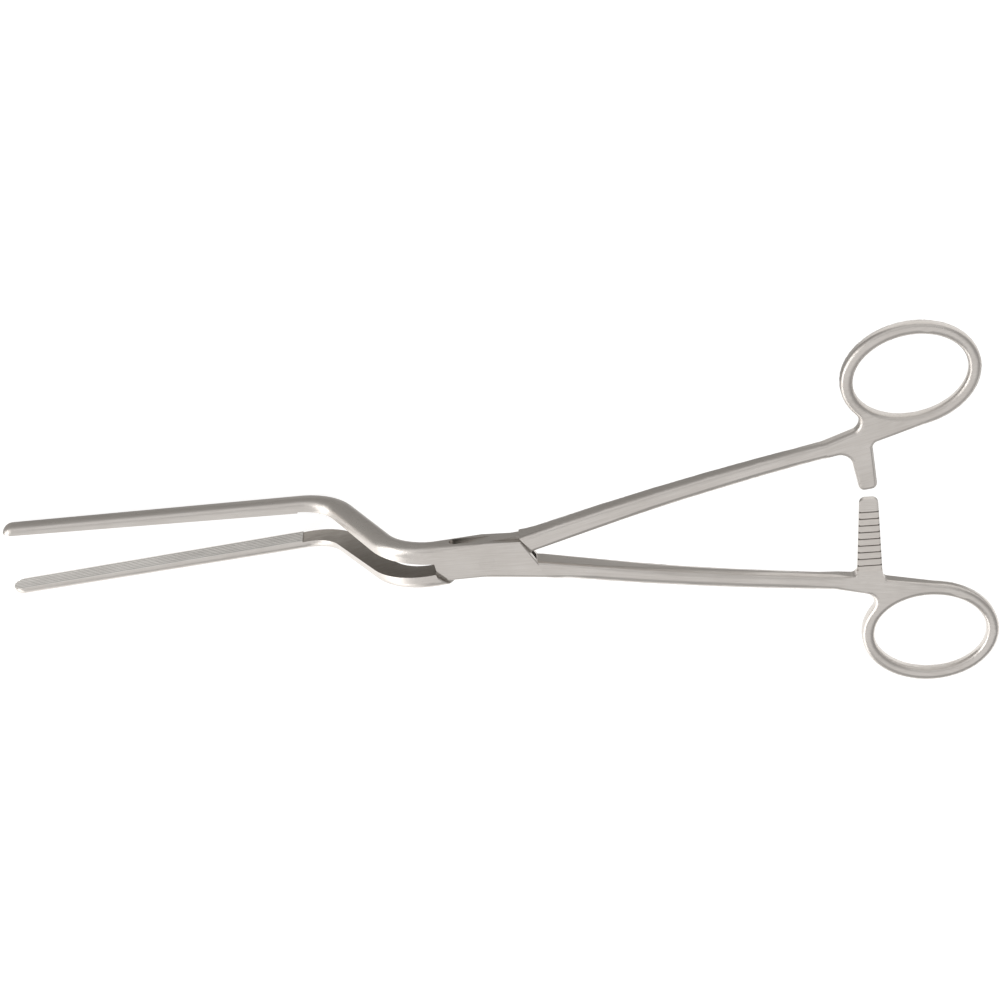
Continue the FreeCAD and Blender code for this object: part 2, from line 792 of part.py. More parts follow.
def finish_female_lock(body, side):
    """Bevel the box's top and slanted walls and round its low edge."""
    top_left = (size("box_start"), size("box_top_left") * side)
    top_right = (size("wall_top_right"), size("box_top") * side)
    low_right = (size("wall_right"), size("wall_right_drop") * -side)
    left = (size("wall_left"), size("wall_left_drop") * -side)
    low_left = (size("wall_low_left"), (size("box_low") + size("wall_low_drop")) * -side)
    low_middle = (size("box_low_x"), size("box_low") * -side)
    bevel, chamfer = size("lock_bevel"), "PartDesign::Chamfer"
    round_edges(body, "BoxTopBevel", bevel, wall_edges(top_left, top_right), chamfer)
    round_edges(body, "RightWallBevel", bevel, wall_edges(top_right, low_right), chamfer)
    round_edges(body, "LeftWallBevel", bevel, wall_edges(left, low_left), chamfer)
    round_edges(body, "BoxLowRound", size("box_low_round"), wall_edges(low_left, low_middle))


def place(body, side):
    """Turn a half into its resting pose and lift it to the pin's level."""
    angle = size("open_half") * -side
    body.Placement = Placement(
        Vector(0, 0, size("pin_level").value), Rotation(Vector(0, 0, 1), angle.value))
    body.setExpression("Placement.Base.z", size("pin_level").text)
    body.setExpression("Placement.Rotation.Angle", angle.text)


def female_half():
    """Make the half with the box: front jaw in the view, lower handle, long arm."""
    side = 1
    body = doc.addObject("PartDesign::Body", "female_half")
    arm = arm_sizes("long", -1)
    build_bar(body, side, size("neck_box"), size("bar_round"))
    build_neck(body, side, size("neck_box"), size("box_top_left"))
    build_female_lock(body, side)
    root = (size("shank_x"), size("shank_outer"), size("shank_x"), size("shank_inner"))
    build_handle(body, side, arm, root, size("shank_x"))
    finish_female_lock(body, side)
    cut_arm(body, side, arm)
    cut_serration(body, side)
    cut_slot(body, side)
    pin_hole(body, size("pin_fit"))
    place(body, side)
    return body


def male_half():
    """Make the half with the tang: upper handle, short arm, rear jaw in the view."""
    side = -1
    body = doc.addObject("PartDesign::Body", "male_half")
    arm = arm_sizes("short", 1)
    build_bar(body, side, size("neck_tang"), size("tang_bar_round"))
    build_male_lock(body, side)
    root = (size("shoulder_outer_x"), size("shoulder_outer"),
            size("shoulder_inner_x"), size("shoulder_inner"))
    build_handle(body, side, arm, root, size("taper_x"))
    cut_arm(body, side, arm)
    cut_serration(body, side)
    pin_hole(body, size("pin_play"))
    place(body, side)
    return body


def lock_pin():
    """Make the plain pin, ground flush with the box."""
    body = doc.addObject("PartDesign::Body", "lock_pin")
    pad(body, "PinBar", circle_on(body, "PinPlan", "XY_Plane", size("pin_size") / 2), size("bar_depth"))
    body.Placement = Placement(Vector(0, 0, size("pin_level").value), Rotation())
    body.setExpression("Placement.Base.z", size("pin_level").text)
    return body


pieces = [female_half(), male_half(), lock_pin()]
doc.recompute()
for item in doc.Objects:
    if "Invalid" in item.State or "Error" in item.State:
        raise RuntimeError(f"{item.Label} failed: {item.State}")
for piece in pieces:
    shape = piece.Shape
    if shape.isNull() or not shape.isValid() or len(shape.Solids) != 1:
        raise RuntimeError(f"{piece.Label} is not one valid solid")

os.makedirs("parts", exist_ok=True)
for piece in pieces:
    piece.Shape.exportStep(f"parts/{piece.Label}.step")
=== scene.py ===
"""Intestinal forceps: satin stainless halves on a box lock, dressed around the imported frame."""

import json
import logging
import math
from dataclasses import dataclass, field
from enum import Enum, IntEnum

import bmesh
import bpy
import numpy as np
from mathutils import Matrix, Vector
from mathutils.kdtree import KDTree

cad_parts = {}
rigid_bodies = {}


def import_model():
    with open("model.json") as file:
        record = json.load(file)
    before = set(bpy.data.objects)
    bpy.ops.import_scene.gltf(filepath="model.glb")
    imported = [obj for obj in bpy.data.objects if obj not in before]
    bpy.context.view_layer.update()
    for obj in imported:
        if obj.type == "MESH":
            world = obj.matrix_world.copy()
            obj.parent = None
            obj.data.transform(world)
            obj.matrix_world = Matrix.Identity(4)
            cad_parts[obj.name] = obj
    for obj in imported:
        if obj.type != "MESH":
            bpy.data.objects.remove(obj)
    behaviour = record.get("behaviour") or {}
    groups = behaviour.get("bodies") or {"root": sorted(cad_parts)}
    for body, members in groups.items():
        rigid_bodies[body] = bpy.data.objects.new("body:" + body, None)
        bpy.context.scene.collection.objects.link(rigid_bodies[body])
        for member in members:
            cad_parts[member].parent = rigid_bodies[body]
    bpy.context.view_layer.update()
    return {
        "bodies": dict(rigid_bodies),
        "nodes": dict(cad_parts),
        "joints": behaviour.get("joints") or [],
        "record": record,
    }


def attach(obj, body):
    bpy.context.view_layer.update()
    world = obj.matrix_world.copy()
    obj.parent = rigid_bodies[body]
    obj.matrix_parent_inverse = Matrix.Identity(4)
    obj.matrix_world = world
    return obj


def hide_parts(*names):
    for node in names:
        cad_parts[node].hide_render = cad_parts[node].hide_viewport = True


log = logging.getLogger("forceps")
logging.basicConfig(level=logging.INFO, format="%(name)s: %(message)s")

Tree = bpy.types.NodeTree
Socket = bpy.types.NodeSocket
Triple = tuple[float, float, float]
Span = tuple[float, float]

# A millimetre in metres. Lengths are millimetres unless their place says otherwise.
MM = 0.001
# The middle of the lock pin above the surface that the jaws rest on.
PIN_LEVEL = 44.0
# How far each half stands open about the pin in the frame, in radians.
OPEN_HALF = math.radians(3.55)
# How closely the cut at the pin's level joins and finds its points, in metres.
CUT_JOIN = 1e-7
CUT_FIND = 1e-6
# The numbers of the Mix node's two colour inputs and of its colour output.
MIX_FIRST = 6
MIX_SECOND = 7
MIX_RESULT = 2


def linear(hex_colour: str) -> tuple[float, float, float, float]:
    """Turn an sRGB hex colour, by the standard's curve, into the linear colour that shaders take.

    Args:
        hex_colour: six hex digits with a leading hash.

    Returns:
        Red, green, blue and an alpha of 1.
    """
    channels = [int(hex_colour[i:i + 2], 16) / 255 for i in (1, 3, 5)]
    red, green, blue = (c / 12.92 if c <= 0.04045 else ((c + 0.055) / 1.055) ** 2.4 for c in channels)
    return red, green, blue, 1.0


def node(tree: Tree, kind: str, links: dict | None = None, **settings: object) -> bpy.types.Node:
    """Add one node with its settings and the links into it.

    Args:
        tree: the node tree to add to.
        kind: the node's type name.
        links: input socket name or number to a constant or an output socket.
        settings: attributes of the node.

    Returns:
        The new node.
    """
    new = tree.nodes.new(kind)
    for name, value in settings.items():
        setattr(new, name, value)
    for key, value in (links or {}).items():
        socket = new.inputs[key]
        if isinstance(value, Socket):
            tree.links.new(value, socket)
        else:
            socket.default_value = value
    return new


def fade(value: np.ndarray, span: Span) -> np.ndarray:
    """Rise smoothly from 0 to 1 over a span.

    Args:
        value: the numbers to grade.
        span: where the rise begins and where it ends.

    Returns:
        The graded numbers, 0 to 1.
    """
    start, stop = span
    t = np.clip((value - start) / (stop - start), 0.0, 1.0)
    return t * t * (3.0 - 2.0 * t)


class Side(IntEnum):
    """The two halves, as the sign of the turn about the pin that closes each."""

    BOX = 1
    TANG = -1


class Compare(Enum):
    """The comparisons that pick faces, by the Math node's names for them."""

    LESS = "LESS_THAN"
    MORE = "GREATER_THAN"


class Finish(Enum):
    """The ways in which the forceps' steel is finished."""

    JAW = "satin-brushed stainless steel, jaw and lock"
    SHANK = "satin-brushed stainless steel, handle"
    GRIP = "milled stainless steel, bite face"
    # The groove flanks' darker colour is painted shade.
    SHADED_GROOVE = "milled stainless steel, groove flanks"
    # The inner faces' and the heel step's darker colour is painted shade.
    SHADED_INNER = "unpolished stainless steel, inner faces"
    BEARING = "ground stainless steel, bearing faces"
    # The teeth carry a painted shadow line at the foot of each.
    TEETH = "cut stainless steel, ratchet teeth"


@dataclass(frozen=True)
class Steel:
    """Hardened stainless steel with one surface finish.

    The brushing gives fine streaks along the instrument, the colour stays warm grey and
    the gloss is broad, with cloudy patches where hands and washing have dulled it. Real
    streaks and grain are finer than a tenth of a millimetre and are drawn coarser here,
    so that they show. Most of a noise's values lie within its range, and a painted shadow
    line at a tooth's foot ends within the line range, as shares of the pitch.
    """

    base: str
    worn: str
    roughness: float
    smoother: float = 0.07
    rougher: float = 0.09
    streak_width: float = 0.25
    streak_length: float = 9.0
    streak_range: Span = (0.3, 0.7)
    streak_tint: float = 0.35
    cloud_size: float = 14.0
    cloud_range: Span = (0.35, 0.65)
    cloud_rough: float = 0.04
    grain_size: float = 0.35
    bump: float = 0.010
    bump_strength: float = 0.35
    anisotropic: float = 0.35
    # The painted shadow lines at the teeth's feet: their pitch, range and colour.
    shadow_line_pitch: float = 0.0
    shadow_line_range: Span = (0.20, 0.30)
    shadow_line_colour: str = "#5A544E"

    def build(self, name: str, turn: float = 0.0, first_shadow_line: float = 0.0,
              way: int = 1) -> bpy.types.Material:
        """Make the material.

        Args:
            name: the material's name.
            turn: the angle from the X axis to the brushing, in degrees.
            first_shadow_line: where the first painted shadow line lies across the instrument.
            way: 1 where the painted shadow lines follow towards smaller Y, -1 towards larger Y.

        Returns:
            A metal with brushing in its roughness, bump and colour.
        """
        material = bpy.data.materials.new(name)
        material.use_nodes = True
        tree = material.node_tree
        tree.nodes.clear()
        place = node(tree, "ShaderNodeTexCoord").outputs["Object"]
        streak_map = node(tree, "ShaderNodeMapping", {
            "Vector": place,
            "Rotation": (0.0, 0.0, math.radians(turn)),
            "Scale": (self.streak_length * MM, self.streak_width * MM, self.streak_width * MM),
        }, vector_type="TEXTURE")
        streaks = node(tree, "ShaderNodeTexNoise", {
            "Vector": streak_map.outputs["Vector"], "Scale": 1.0,
            "Detail": 4.0, "Roughness": 0.6}).outputs["Fac"]
        clouds = node(tree, "ShaderNodeTexNoise", {
            "Vector": place, "Scale": 1 / (self.cloud_size * MM),
            "Detail": 3.0, "Roughness": 0.5}).outputs["Fac"]
        grain = node(tree, "ShaderNodeTexNoise", {
            "Vector": place, "Scale": 1 / (self.grain_size * MM), "Detail": 2.0}).outputs["Fac"]

        low, high = self.streak_range
        brushed = node(tree, "ShaderNodeMapRange", {
            "Value": streaks, "From Min": low, "From Max": high,
            "To Min": self.roughness - self.smoother, "To Max": self.roughness + self.rougher})
        tinted = node(tree, "ShaderNodeMapRange", {
            "Value": streaks, "From Min": low, "From Max": high,
            "To Min": -self.streak_tint, "To Max": self.streak_tint})
        low, high = self.cloud_range
        dulled = node(tree, "ShaderNodeMapRange", {
            "Value": clouds, "From Min": low, "From Max": high,
            "To Min": -self.cloud_rough, "To Max": self.cloud_rough})
        roughness = node(tree, "ShaderNodeMath", {
            0: brushed.outputs["Result"], 1: dulled.outputs["Result"]}, operation="ADD")
        wear = node(tree, "ShaderNodeMath", {
            0: clouds, 1: tinted.outputs["Result"]}, operation="ADD", use_clamp=True)
        colour = node(tree, "ShaderNodeMix", {
            "Factor": wear.outputs["Value"], MIX_FIRST: linear(self.base),
            MIX_SECOND: linear(self.worn)}, data_type="RGBA").outputs[MIX_RESULT]
        # Painted shade: a dark shadow line at the foot of each ratchet tooth.
        if self.shadow_line_pitch:
            colour = self.paint_tooth_shadows(tree, place, colour, turn, first_shadow_line, way)

        height = node(tree, "ShaderNodeMath", {0: streaks, 1: grain}, operation="ADD")
        bump = node(tree, "ShaderNodeBump", {
            "Height": height.outputs["Value"], "Strength": self.bump_strength,
            "Distance": self.bump * MM})
        shader = node(tree, "ShaderNodeBsdfPrincipled", {
            "Base Color": colour, "Metallic": 1.0,
            "Roughness": roughness.outputs["Value"], "Anisotropic": self.anisotropic,
            "Normal": bump.outputs["Normal"]})
        node(tree, "ShaderNodeOutputMaterial", {"Surface": shader.outputs["BSDF"]})
        return material

    def paint_tooth_shadows(self, tree: Tree, place: Socket, colour: Socket, turn: float,
                  first_shadow_line: float, way: int) -> Socket:
        """Paint a shadow line at the foot of each ratchet tooth, as painted shade.

        Args:
            tree: the material's node tree.
            place: the object coordinates' output.
            colour: the colour between the lines.
            turn: the half's angle about the pin, in degrees.
            first_shadow_line: where the first painted shadow line lies across the instrument.
            way: 1 where the painted shadow lines follow towards smaller Y, -1 towards larger Y.

        Returns:
            The colour's output with the lines in it.
        """
        straight = node(tree, "ShaderNodeMapping", {
            "Vector": place, "Rotation": (0.0, 0.0, math.radians(turn)),
            "Scale": (MM, self.shadow_line_pitch * MM, MM)}, vector_type="TEXTURE")
        across = node(tree, "ShaderNodeSeparateXYZ", {0: straight.outputs["Vector"]}).outputs["Y"]
        count = node(tree, "ShaderNodeMath", {
            0: across, 1: -float(way), 2: first_shadow_line / self.shadow_line_pitch * way}, operation="MULTIPLY_ADD")
        step = node(tree, "ShaderNodeMath", {0: count.outputs["Value"]}, operation="FRACT")
        dark, clear = self.shadow_line_range
        clean = node(tree, "ShaderNodeMapRange", {
            "Value": step.outputs["Value"], "From Min": dark, "From Max": clear})
        return node(tree, "ShaderNodeMix", {
            "Factor": clean.outputs["Result"], MIX_FIRST: linear(self.shadow_line_colour),
            MIX_SECOND: colour}, data_type="RGBA").outputs[MIX_RESULT]


FINISHES = {
    # A belt leaves fine streaks along the jaw and the lock, with a broad, warm gloss.
    Finish.JAW: Steel("#D3CEC9", "#C4BEB8", 0.35),
    # The handle has the same satin, with streaks that follow the shank.
    Finish.SHANK: Steel("#D3CEC9", "#C4BEB8", 0.35),
    # The milled ridges of the bite face look pale and matt, alike from every side.
    Finish.GRIP: Steel("#D2CFCB", "#C4C1BD", 0.5, streak_width=0.3, anisotropic=0.0),
    # The flanks face each other, and their colour, darker than the ridges', is painted shade.
    Finish.SHADED_GROOVE: Steel("#B9B6B2", "#ABA8A4", 0.5, streak_width=0.3, anisotropic=0.0),
    # No belt reaches the inner faces, so they stay dull; their clearly darker colour, which the heel step's
    # wall gets too, is painted shade.
    Finish.SHADED_INNER: Steel("#99938C", "#8A847D", 0.5, streak_width=0.4, streak_length=4.0, anisotropic=0.0),
    # Where the lock's faces rub, grinding leaves short, tight streaks on an even grey.
    Finish.BEARING: Steel("#AFABA6", "#9F9B96", 0.4, streak_width=0.15, streak_length=3.0),
    # The teeth are bright from the cutter, with a painted shadow line at the foot of each.
    Finish.TEETH: Steel("#D6D0CA", "#C8C2BC", 0.4, streak_width=0.2, streak_length=3.0, shadow_line_pitch=2.26),
}


@dataclass(frozen=True)
class HandleStart:
    """Where a half's handle begins, measured along it from the pin."""

    taper: float
    rounding: Span


@dataclass
class Stretch:
    """What broadening the edges does to a mesh, with one row for each of its points."""

    moved: np.ndarray
    across: np.ndarray
    down: np.ndarray
    normals: np.ndarray
    arm: np.ndarray


@dataclass(frozen=True)
class SoftEdges:
    """How the handle's edges are broadened from their forged radius.

    Polishing belts run off the outside of the shanks most, so there the round is widest.
    The points of an edge are stretched away from the side wall, across the face and down
    the side, and their normals are turned to match. Where the ratchet arm leaves the
    handle, the edges stay as they are. A span is where a change begins and where it ends.
    """

    front_radius: float = 1.2
    back_radius: float = 1.0
    edge_margin: float = 1.03
    outer_across: float = 2.3
    inner_across: float = 2.1
    down: float = 2.55
    ring: float = 1.75
    ring_zone: Span = (98.0, 114.0)
    box_start: HandleStart = HandleStart(taper=17.0, rounding=(17.6, 26.0))
    tang_start: HandleStart = HandleStart(taper=10.0, rounding=(11.0, 15.5))
    inner_rounding: Span = (19.0, 62.0)
    face_at_start: float = 3.6
    face_far: float = 2.2
    face_far_x: float = 156.0
    arm_left: Span = (104.0, 109.0)
    arm_right: Span = (121.0, 125.0)
    arm_root: Span = (18.5, 20.5)
    outline_start: float = 12.0
    outline_step: float = 0.25
    fewest_steps: int = 2
    evened: float = 7.0
    wall_tilt: float = 0.3
    same_way: float = 0.94
    mostly_arm: float = 0.5
    ramp_tilt: Span = (0.5, 0.85)
    ramp_lift: float = 2.0

    def contour(self, mesh: bpy.types.Mesh) -> tuple[np.ndarray, np.ndarray]:
        """Read the handle's outline where the pin level cuts its sides.

        Args:
            mesh: the half's mesh in the frame.

        Returns:
            Points along the outline in metres and the outward side normal at each.
        """
        cut = bmesh.new()
        cut.from_mesh(mesh)
        level = Vector((0, 0, PIN_LEVEL * MM))
        bmesh.ops.bisect_plane(cut, geom=cut.verts[:] + cut.edges[:] + cut.faces[:], dist=CUT_JOIN,
                               plane_co=level, plane_no=Vector((0, 0, 1)))
        points, normals = [], []
        for edge in cut.edges:
            first, second = (vert.co for vert in edge.verts)
            off_level = max(abs(first.z - level.z), abs(second.z - level.z)) > CUT_FIND
            if off_level or max(first.x, second.x) < self.outline_start * MM:
                continue
            walls = [face.normal for face in edge.link_faces if abs(face.normal.z) < self.wall_tilt]
            if not walls:
                continue
            count = max(self.fewest_steps, int((second - first).length / (self.outline_step * MM)))
            for step in range(count + 1):
                points.append(first.lerp(second, step / count))
                # A face's normal goes with the cut mesh, so a copy is kept.
                normals.append(walls[0].copy())
        cut.free()
        return np.array(points), np.array(normals)

    def even(self, points: np.ndarray, outward: np.ndarray, tree: KDTree) -> np.ndarray:
        """Average the outline's normals over a short stretch, because polishing leaves no corners in it.

        Args:
            points: points along the outline in metres.
            outward: the side normal at each.
            tree: the points, laid flat, for finding neighbours.

        Returns:
            The evened normals.
        """
        smooth = outward.copy()
        for number, point in enumerate(points):
            near = [found for _, found, _ in tree.find_range((point[0], point[1], 0.0), self.evened * MM)
                    if outward[found] @ outward[number] > self.same_way]
            mean = outward[near].mean(axis=0)
            mean[2] = 0.0
            smooth[number] = mean / np.linalg.norm(mean)
        return smooth

    def stretch(self, mesh: bpy.types.Mesh, side: Side, outward: np.ndarray, tree: KDTree) -> Stretch:
        """Work out where each point of the handle's edges goes.

        Args:
            mesh: the half's mesh in the frame.
            side: which half it is.
            outward: the side normals along the outline.
            tree: the outline's points, laid flat.

        Returns:
            The moved points and how far each is stretched.
        """
        count = len(mesh.vertices)
        place = np.empty(count * 3)
        mesh.vertices.foreach_get("co", place)
        place = place.reshape(-1, 3)
        angle = OPEN_HALF * side
        cos, sin = math.cos(angle), math.sin(angle)
        along = (place[:, 0] * cos - place[:, 1] * sin) / MM
        reach = (place[:, 0] * sin + place[:, 1] * cos) * -side / MM
        height = place[:, 2] / MM - PIN_LEVEL

        start = self.box_start if side is Side.BOX else self.tang_start
        slope = (self.face_at_start - self.face_far) / (self.face_far_x - start.taper)
        face_level = self.face_at_start - slope * (along - start.taper)
        below = face_level - np.abs(height)
        radius = np.where(height > 0, self.front_radius, self.back_radius)
        near = (along > start.rounding[0]) & (below < radius * self.edge_margin)
        arm = fade(along, self.arm_left) * (1 - fade(along, self.arm_right))
        arm = arm * (1 - fade(reach, self.arm_root))
        outer_weight = fade(along, start.rounding) * (1 - arm)
        inner_weight = fade(along, self.inner_rounding) * (1 - arm)
        ring = fade(along, self.ring_zone)

        result = Stretch(place.copy(), np.ones(count), np.ones(count), np.zeros((count, 3)), arm)
        for index in np.flatnonzero(near & (outer_weight > 0)):
            _, found, gap = tree.find((place[index, 0], place[index, 1], 0.0))
            gap /= MM
            if gap > radius[index] * self.edge_margin:
                continue
            normal = outward[found]
            is_outer = normal[1] * -side > 0
            weight = outer_weight[index] if is_outer else inner_weight[index]
            wide = self.outer_across if is_outer else self.inner_across
            wide += (self.ring - wide) * ring[index]
            deep = self.down + (self.ring - self.down) * ring[index]
            across = 1 + (wide / radius[index] - 1) * weight
            down = 1 + (deep / radius[index] - 1) * weight
            sunk = max(below[index], 0.0) * MM * (down - 1)
            result.across[index] = across
            result.down[index] = down
            result.normals[index] = normal
            result.moved[index] -= normal * gap * MM * (across - 1)
            result.moved[index, 2] -= math.copysign(sunk, height[index])
        return result

    def shading(self, mesh: bpy.types.Mesh, stretch: Stretch) -> np.ndarray:
        """Turn the corner normals to suit the stretched edges.

        Args:
            mesh: the half's mesh, with its points not moved yet.
            stretch: how far each point is stretched.

        Returns:
            One normal for each face corner.
        """
        vertex = np.empty(len(mesh.loops), dtype=int)
        mesh.loops.foreach_get("vertex_index", vertex)
        shade = np.empty(len(mesh.loops) * 3)
        mesh.corner_normals.foreach_get("vector", shade)
        shade = shade.reshape(-1, 3)

        # Beside the side wall, the normals follow the evened outline.
        side_way = stretch.normals[vertex]
        level_part = shade * (1.0, 1.0, 0.0)
        length = np.linalg.norm(level_part, axis=1, keepdims=True)
        alike = np.sum(level_part * side_way, axis=1, keepdims=True) > self.same_way * length
        shade += np.where(alike, side_way * length - level_part, 0.0)

        # Stretching a surface one way shrinks that part of its normals by the same share.
        part = np.sum(shade * side_way, axis=1, keepdims=True)
        shade = shade + side_way * part * (1 / stretch.across[vertex][:, None] - 1)
        shade[:, 2] /= stretch.down[vertex]

        # The short ramps down to the thin arm are shaded almost as flat as its face.
        tilt = np.abs(shade[:, 2])
        low, high = self.ramp_tilt
        ramp = (stretch.arm[vertex] > self.mostly_arm) & (tilt > low) & (tilt < high)
        shade[ramp, 2] += np.sign(shade[ramp, 2]) * self.ramp_lift
        shade /= np.linalg.norm(shade, axis=1, keepdims=True)
        return shade

    def apply(self, mesh: bpy.types.Mesh, side: Side) -> None:
        """Broaden the edges of one half's handle in place.

        Args:
            mesh: a copy of the half's mesh.
            side: which half it is.
        """
        points, outward = self.contour(mesh)
        tree = KDTree(len(points))
        for number, point in enumerate(points):
            tree.insert((point[0], point[1], 0.0), number)
        tree.balance()
        stretch = self.stretch(mesh, side, self.even(points, outward, tree), tree)
        shade = self.shading(mesh, stretch)
        mesh.vertices.foreach_set("co", stretch.moved.ravel())
        mesh.update()
        mesh.normals_split_custom_set(shade.tolist())


# The node tree's inputs: the turn in radians that closes the half, the sign of Y that its
# bite face then looks to, and, in metres and closed, where one finish gives way to another.
FACE_INPUTS = {
    "Turn to closed": 0.0,
    "Bite side": 1.0,
    "Bite end": -58.98 * MM,
    "Heel gap": 1.8 * MM,
    "Jaw height": 7.4 * MM,
    "Pin level": PIN_LEVEL * MM,
    "Slot half": 1.8 * MM,
    "Lock reach": 19.0 * MM,
    "Neck start": -13.0 * MM,
    "Handle start": 16.0 * MM,
    "Arm start": 110.0 * MM,
    "Teeth end": 6.83 * MM,
    "Teeth root": -13.4 * MM,
}


@dataclass
class FaceFinish:
    """Geometry nodes that give each face of a half the steel finish that its place calls for.

    The four shares say how squarely a face looks one way, where 1 is straight that way.
    """

    squarely: float = 0.9
    mostly: float = 0.8
    endwise: float = 0.7
    slanted: float = 0.35
    tree: Tree = field(init=False)
    sockets: dict = field(init=False)

    def __post_init__(self) -> None:
        """Build the node tree once for both halves."""
        self.tree = bpy.data.node_groups.new("steel finish by face", "GeometryNodeTree")
        panel = self.tree.interface
        panel.new_socket("Geometry", in_out="INPUT", socket_type="NodeSocketGeometry")
        self.sockets = {}
        for name, value in FACE_INPUTS.items():
            socket = panel.new_socket(name, in_out="INPUT", socket_type="NodeSocketFloat")
            socket.default_value = value
            self.sockets[name] = socket.identifier
        for finish in Finish:
            socket = panel.new_socket(finish.name.title(), in_out="INPUT", socket_type="NodeSocketMaterial")
            self.sockets[finish] = socket.identifier
        panel.new_socket("Geometry", in_out="OUTPUT", socket_type="NodeSocketGeometry")
        self.wire()

    def closed(self, vector: Socket, turn: Socket) -> tuple[Socket, Socket, Socket]:
        """Turn a vector with its half to the closed pose and take it apart.

        Args:
            vector: a place or a normal.
            turn: the turn about the pin in radians.

        Returns:
            The outputs of its three parts.
        """
        turned = node(self.tree, "ShaderNodeVectorRotate", {
            "Vector": vector, "Angle": turn}, rotation_type="Z_AXIS")
        parts = node(self.tree, "ShaderNodeSeparateXYZ", {0: turned.outputs["Vector"]}).outputs
        return parts["X"], parts["Y"], parts["Z"]

    def where(self, *conditions: tuple[Socket, Compare, Socket | float]) -> Socket:
        """Tell where every one of several comparisons holds.

        Args:
            conditions: for each, a number, the comparison and the number it is held against.

        Returns:
            The output that is 1 where all of them hold and 0 elsewhere.
        """
        result = None
        for number, comparison, limit in conditions:
            holds = node(self.tree, "ShaderNodeMath", {0: number, 1: limit}, operation=comparison.value)
            if result is not None:
                holds = node(self.tree, "ShaderNodeMath", {
                    0: result, 1: holds.outputs["Value"]}, operation="MULTIPLY")
            result = holds.outputs["Value"]
        return result

    def select(self, given: dict[str, Socket]) -> dict[Finish, Socket]:
        """Pick the faces of each finish by where they lie and by the way they look.

        Args:
            given: the tree's inputs by name.

        Returns:
            The selections, in the order in which a later one goes over an earlier one.
        """
        tree = self.tree
        less, more = Compare.LESS, Compare.MORE
        position = node(tree, "GeometryNodeInputPosition").outputs["Position"]
        normal = node(tree, "GeometryNodeInputNormal").outputs["Normal"]
        x, y, z = self.closed(position, given["Turn to closed"])
        looks_x, looks_y, looks_z = self.closed(normal, given["Turn to closed"])
        inward = node(tree, "ShaderNodeMath", {
            0: looks_y, 1: given["Bite side"]}, operation="MULTIPLY").outputs["Value"]
        bite_way = node(tree, "ShaderNodeMath", {
            0: y, 1: given["Bite side"]}, operation="MULTIPLY").outputs["Value"]
        from_middle = node(tree, "ShaderNodeMath", {
            0: bite_way, 1: -1.0}, operation="MULTIPLY").outputs["Value"]
        from_heel = node(tree, "ShaderNodeMath", {
            0: x, 1: given["Bite end"]}, operation="SUBTRACT").outputs["Value"]
        from_pin_level = node(tree, "ShaderNodeMath", {
            0: z, 1: given["Pin level"]}, operation="SUBTRACT").outputs["Value"]
        heel_gap, depth, reach, flat, lengthwise = (
            node(tree, "ShaderNodeMath", {0: value}, operation="ABSOLUTE").outputs["Value"]
            for value in (from_heel, from_pin_level, x, looks_z, looks_x))

        jaw = ((x, less, given["Bite end"]), (z, less, given["Jaw height"]))
        # Painted shade: the faces behind the bite and the heel step's wall get the darker inner colour.
        behind_bite = self.where(
            (x, more, given["Bite end"]), (x, less, given["Neck start"]), (inward, more, self.mostly))
        heel_step = self.where((heel_gap, less, given["Heel gap"]), (lengthwise, more, self.endwise))
        inner = node(tree, "ShaderNodeMath", {0: behind_bite, 1: heel_step}, operation="MAXIMUM")
        return {
            Finish.SHANK: self.where((x, more, given["Handle start"])),
            Finish.GRIP: self.where(*jaw, (inward, more, self.squarely)),
            # Groove flanks: the darker colour given here is painted shade.
            Finish.SHADED_GROOVE: self.where(*jaw, (inward, more, self.slanted), (inward, less, self.squarely)),
            Finish.SHADED_INNER: inner.outputs["Value"],
            Finish.BEARING: self.where(
                (depth, less, given["Slot half"]), (reach, less, given["Lock reach"]),
                (flat, more, self.squarely)),
            Finish.TEETH: self.where(
                (x, more, given["Arm start"]), (depth, less, given["Slot half"]), (flat, more, self.mostly),
                (from_middle, less, given["Teeth end"]), (from_middle, more, given["Teeth root"])),
        }

    def wire(self) -> None:
        """Link the tree: the jaw's finish everywhere, then each other finish on its faces."""
        inputs = node(self.tree, "NodeGroupInput").outputs
        given = {name: inputs[name] for name in FACE_INPUTS}
        result = node(self.tree, "GeometryNodeSetMaterial", {
            "Geometry": inputs["Geometry"], "Material": inputs[Finish.JAW.name.title()]}).outputs["Geometry"]
        for finish, selection in self.select(given).items():
            result = node(self.tree, "GeometryNodeSetMaterial", {
                "Geometry": result, "Selection": selection,
                "Material": inputs[finish.name.title()]}).outputs["Geometry"]
        whole = node(self.tree, "GeometryNodeRealizeInstances", {"Geometry": result})
        node(self.tree, "NodeGroupOutput", {"Geometry": whole.outputs["Geometry"]})

    def apply(self, piece: bpy.types.Object, side: Side, steels: dict[Finish, bpy.types.Material]) -> None:
        """Run the tree on one half and keep its result as the half's mesh.

        Args:
            piece: the half's object.
            side: which half it is.
            steels: the half's materials by finish.
        """
        modifier = piece.modifiers.new("steel finish", "NODES")
        modifier.node_group = self.tree
        modifier[self.sockets["Turn to closed"]] = OPEN_HALF * side
        modifier[self.sockets["Bite side"]] = float(-side)
        for finish, steel in steels.items():
            modifier[self.sockets[finish]] = steel
        bpy.context.view_layer.update()
        graph = bpy.context.evaluated_depsgraph_get()
        made = bpy.data.meshes.new_from_object(piece.evaluated_get(graph), preserve_all_data_layers=True,
                                               depsgraph=graph)
        piece.modifiers.remove(modifier)
        old, piece.data = piece.data, made
        bpy.data.meshes.remove(old)


